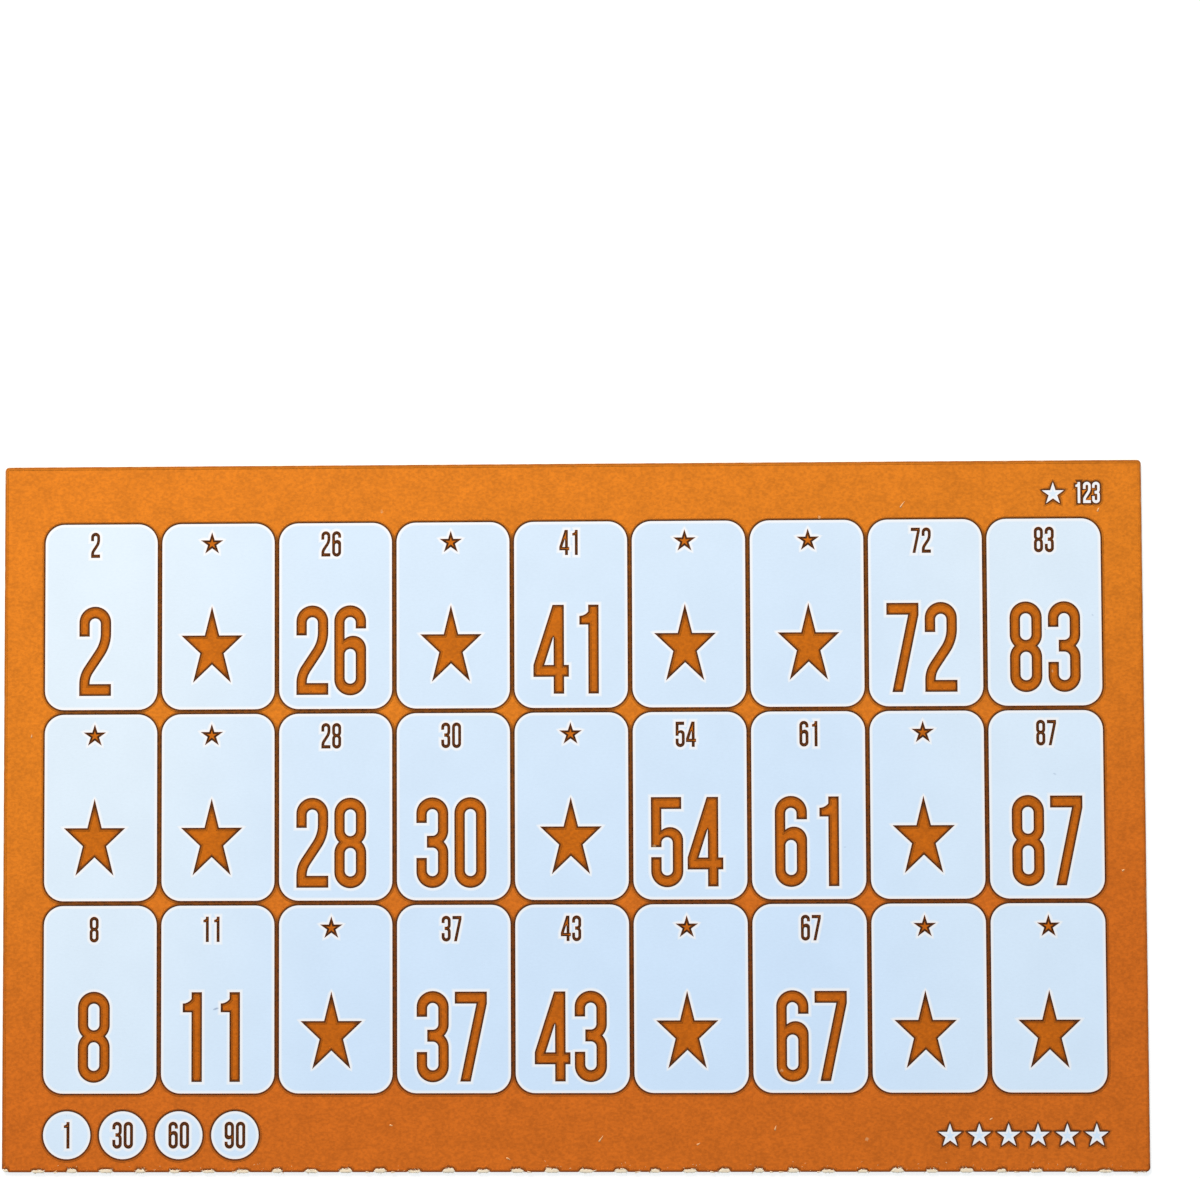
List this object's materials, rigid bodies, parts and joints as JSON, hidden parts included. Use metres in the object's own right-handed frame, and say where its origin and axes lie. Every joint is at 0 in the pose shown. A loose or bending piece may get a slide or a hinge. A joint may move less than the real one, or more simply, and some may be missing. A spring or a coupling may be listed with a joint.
{
  "type": "bingo card",
  "caption": "Flat printed bingo card of laminated board, with rounded white cells that hold plain numbers or stars on an orange ground, and a torn perforated bottom edge.",
  "frame": {"origin": "centre of the card's outline on its back face, which lies on the table", "axes": "+X along the rows of cells to the reader's right, +Y towards the top edge, +Z out of the printed face"},
  "size_m": [0.13, 0.0804, 0.0004],
  "materials": {
    "back_liner": "uncoated",
    "pulp_core": "torn fibre",
    "white_face": "smooth coated",
    "orange_ink": "matt printed ink"
  },
  "bodies": {
    "root": {"back_ply": "back_liner", "core_ply": "pulp_core", "face_ply": "white_face", "ground_print": "orange_ink", "ball_numbers": "orange_ink", "large_number_2": "orange_ink", "large_star_r1c2": "orange_ink", "large_number_26": "orange_ink", "large_star_r1c4": "orange_ink", "large_number_41": "orange_ink", "large_star_r1c6": "orange_ink", "large_star_r1c7": "orange_ink", "large_number_72": "orange_ink", "large_number_83": "orange_ink", "large_star_r2c1": "orange_ink", "large_star_r2c2": "orange_ink", "large_number_28": "orange_ink", "large_number_30": "orange_ink", "large_star_r2c5": "orange_ink", "large_number_54": "orange_ink", "large_number_61": "orange_ink", "large_star_r2c8": "orange_ink", "large_number_87": "orange_ink", "large_number_8": "orange_ink", "large_number_11": "orange_ink", "large_star_r3c3": "orange_ink", "large_number_37": "orange_ink", "large_number_43": "orange_ink", "large_star_r3c6": "orange_ink", "large_number_67": "orange_ink", "large_star_r3c8": "orange_ink", "large_star_r3c9": "orange_ink", "small_number_2": "orange_ink", "small_star_r1c2": "orange_ink", "small_number_26": "orange_ink", "small_star_r1c4": "orange_ink", "small_number_41": "orange_ink", "small_star_r1c6": "orange_ink", "small_star_r1c7": "orange_ink", "small_number_72": "orange_ink", "small_number_83": "orange_ink", "small_star_r2c1": "orange_ink", "small_star_r2c2": "orange_ink", "small_number_28": "orange_ink", "small_number_30": "orange_ink", "small_star_r2c5": "orange_ink", "small_number_54": "orange_ink", "small_number_61": "orange_ink", "small_star_r2c8": "orange_ink", "small_number_87": "orange_ink", "small_number_8": "orange_ink", "small_number_11": "orange_ink", "small_star_r3c3": "orange_ink", "small_number_37": "orange_ink", "small_number_43": "orange_ink", "small_star_r3c6": "orange_ink", "small_number_67": "orange_ink", "small_star_r3c8": "orange_ink", "small_star_r3c9": "orange_ink"}
  },
  "joints": []
}
